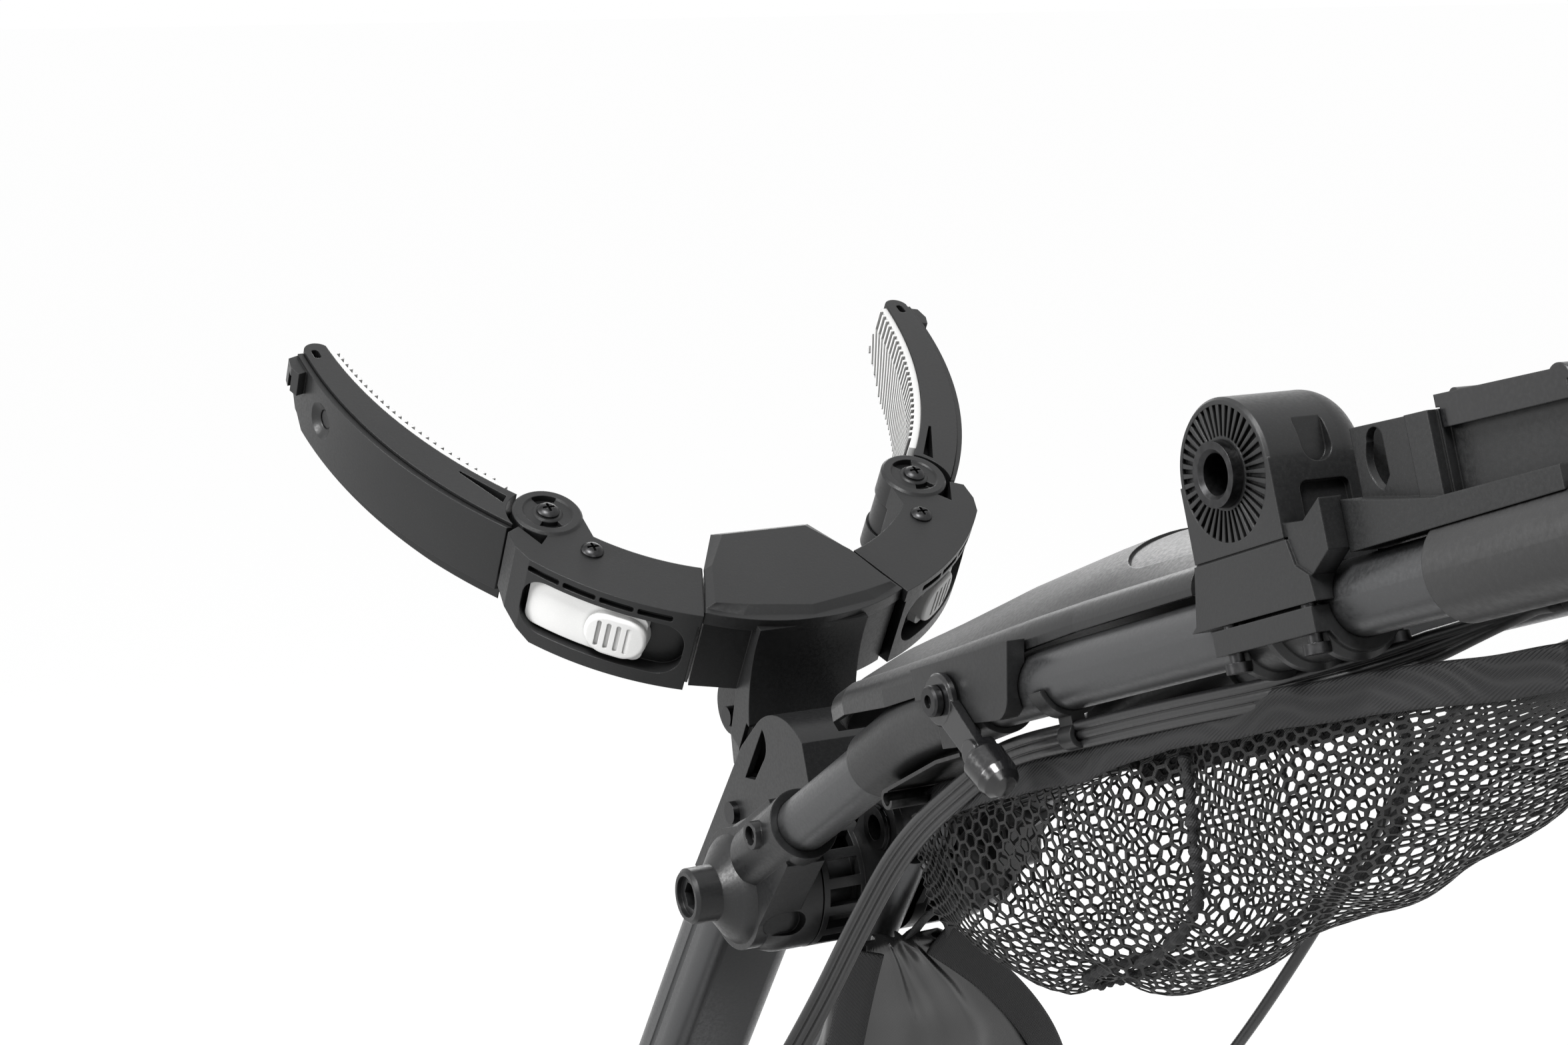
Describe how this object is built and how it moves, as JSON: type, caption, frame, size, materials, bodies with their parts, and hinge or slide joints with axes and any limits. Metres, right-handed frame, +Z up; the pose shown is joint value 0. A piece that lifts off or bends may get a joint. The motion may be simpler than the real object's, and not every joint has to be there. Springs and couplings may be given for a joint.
{
  "type": "golf push trolley",
  "caption": "Folding push trolley for a golf bag: padded upper cradle with swinging arms, lower cradle, folding handle with console, net and pouch, wheels with brake cables",
  "frame": {"origin": "on the ground, middle of the whole trolley's box", "axes": "+Z up, +Y forward towards the front wheel, +X to the right seen from the handle"},
  "size_m": [0.64, 1.282, 0.9979],
  "materials": {
    "dark_casting": "die-cast, satin charcoal powder coat",
    "anodised_tube": "extruded, satin charcoal anodised",
    "moulded_charcoal": "moulded nylon, fine grain, satin",
    "moulded_black": "moulded, black satin",
    "light_grey": "moulded, pale grey, smooth",
    "pad_rubber": "soft moulded, pale grey",
    "zinc_screw": "bright zinc plated",
    "black_screw": "black oxide",
    "grip_foam": "foam, matt",
    "tyre_black": "solid foam tyre, matt",
    "cable_black": "plastic sleeve, satin",
    "net_black": "knitted honeycomb mesh",
    "pouch_black": "coated woven fabric with webbing binding",
    "rail_black": "black coated wire"
  },
  "bodies": {
    "frame": {"main_tube": "anodised_tube", "head_casting": "dark_casting", "head_screws": "black_screw", "hub_pin": "zinc_screw", "stay_tube": "anodised_tube", "stay_pin": "black_screw", "leg_yoke": "dark_casting", "lower_cradle": "moulded_charcoal", "lower_cradle_pads": "pad_rubber", "front_fork": "dark_casting", "front_axle": "zinc_screw", "pouch": "pouch_black", "cradle_centre": "moulded_charcoal", "cradle_bolt": "black_screw", "cradle_shoulder_left": "moulded_charcoal", "cradle_shoulder_right": "moulded_charcoal", "cradle_screws": "black_screw", "brake_cable_left": "cable_black", "brake_cable_right": "cable_black"},
    "arm_left": {"cradle_arm_left": "moulded_charcoal", "arm_cover_left": "moulded_charcoal", "arm_pad_left": "pad_rubber"},
    "arm_right": {"cradle_arm_right": "moulded_charcoal", "arm_cover_right": "moulded_charcoal", "arm_pad_right": "pad_rubber"},
    "latch_left": {"cradle_latch_left": "light_grey"},
    "latch_right": {"cradle_latch_right": "light_grey"},
    "handle": {"side_tube_left": "anodised_tube", "side_tube_right": "anodised_tube", "side_socket_left": "dark_casting", "side_socket_right": "dark_casting", "hood": "moulded_charcoal", "accessory_mount": "moulded_charcoal", "mount_clamp": "moulded_charcoal", "clamp_screws": "black_screw", "threaded_insert": "black_screw", "console_tray": "moulded_charcoal", "handle_bow": "anodised_tube", "handle_grip": "grip_foam", "brake_bracket": "moulded_charcoal", "brake_lever_pin": "zinc_screw", "lever_bolt": "black_screw", "net": "net_black", "net_rail": "rail_black", "cable_clip": "moulded_charcoal", "elbow_left": "moulded_charcoal", "elbow_right": "moulded_charcoal"},
    "lid": {"console_lid": "moulded_black"},
    "brake_lever": {"brake_lever": "moulded_black"},
    "lock_lever": {"lock_lever": "moulded_black"},
    "legs": {"leg_left": "anodised_tube", "leg_right": "anodised_tube", "leg_pivot_shaft": "zinc_screw", "rear_axles": "zinc_screw"},
    "wheel_left": {"tyre_rear_left": "tyre_black", "rim_rear_left": "moulded_charcoal"},
    "wheel_right": {"tyre_rear_right": "tyre_black", "rim_rear_right": "moulded_charcoal"},
    "wheel_front": {"tyre_front": "tyre_black", "rim_front": "moulded_charcoal"}
  },
  "joints": [
    {"name": "arm_left_swing", "type": "hinge", "parent": "frame", "child": "arm_left", "pos_m": [-0.103, 0.133, 0.81678], "axis": [0, 0.4633, -0.8862], "range_deg": [0, 45]},
    {"name": "arm_right_swing", "type": "hinge", "parent": "frame", "child": "arm_right", "pos_m": [0.103, 0.133, 0.81678], "axis": [0, -0.4633, 0.8862], "range_deg": [0, 45]},
    {"name": "latch_left_slide", "type": "hinge", "parent": "frame", "child": "latch_left", "pos_m": [0, 0.18148, 0.84212], "axis": [0, -0.4633, 0.8862], "range_deg": [0, 3.5], "stiffness_Nm_per_rad": 2},
    {"name": "latch_right_slide", "type": "hinge", "parent": "frame", "child": "latch_right", "pos_m": [0, 0.18148, 0.84212], "axis": [0, 0.4633, -0.8862], "range_deg": [0, 3.5], "stiffness_Nm_per_rad": 2},
    {"name": "handle_fold", "type": "hinge", "parent": "frame", "child": "handle", "pos_m": [0, -0.009, 0.678], "axis": [1, 0, 0], "range_deg": [0, 134], "deforming": ["net", "brake_cable_left", "brake_cable_right", "pouch"]},
    {"name": "lid_hinge", "type": "hinge", "parent": "handle", "child": "lid", "pos_m": [0, -0.47037, 0.97637], "axis": [-1, 0, 0], "range_deg": [0, 100]},
    {"name": "brake_squeeze", "type": "hinge", "parent": "handle", "child": "brake_lever", "pos_m": [0, -0.5347, 0.93072], "axis": [-1, 0, 0], "range_deg": [0, 9], "stiffness_Nm_per_rad": 2.5},
    {"name": "lock_lever_turn", "type": "hinge", "parent": "handle", "child": "lock_lever", "pos_m": [-0.08, -0.21454, 0.82117], "axis": [1, 0, 0], "range_deg": [0, 60]},
    {"name": "leg_fold", "type": "hinge", "parent": "frame", "child": "legs", "pos_m": [0, 0.206, 0.38], "axis": [1, 0, 0], "range_deg": [0, 80], "deforming": ["brake_cable_left", "brake_cable_right"]},
    {"name": "rear_left_spin", "type": "hinge", "parent": "legs", "child": "wheel_left", "pos_m": [-0.29, -0.054, 0.145], "axis": [1, 0, 0], "continuous": true},
    {"name": "rear_right_spin", "type": "hinge", "parent": "legs", "child": "wheel_right", "pos_m": [0.29, -0.054, 0.145], "axis": [1, 0, 0], "continuous": true},
    {"name": "front_spin", "type": "hinge", "parent": "frame", "child": "wheel_front", "pos_m": [0, 0.516, 0.125], "axis": [1, 0, 0], "continuous": true}
  ]
}
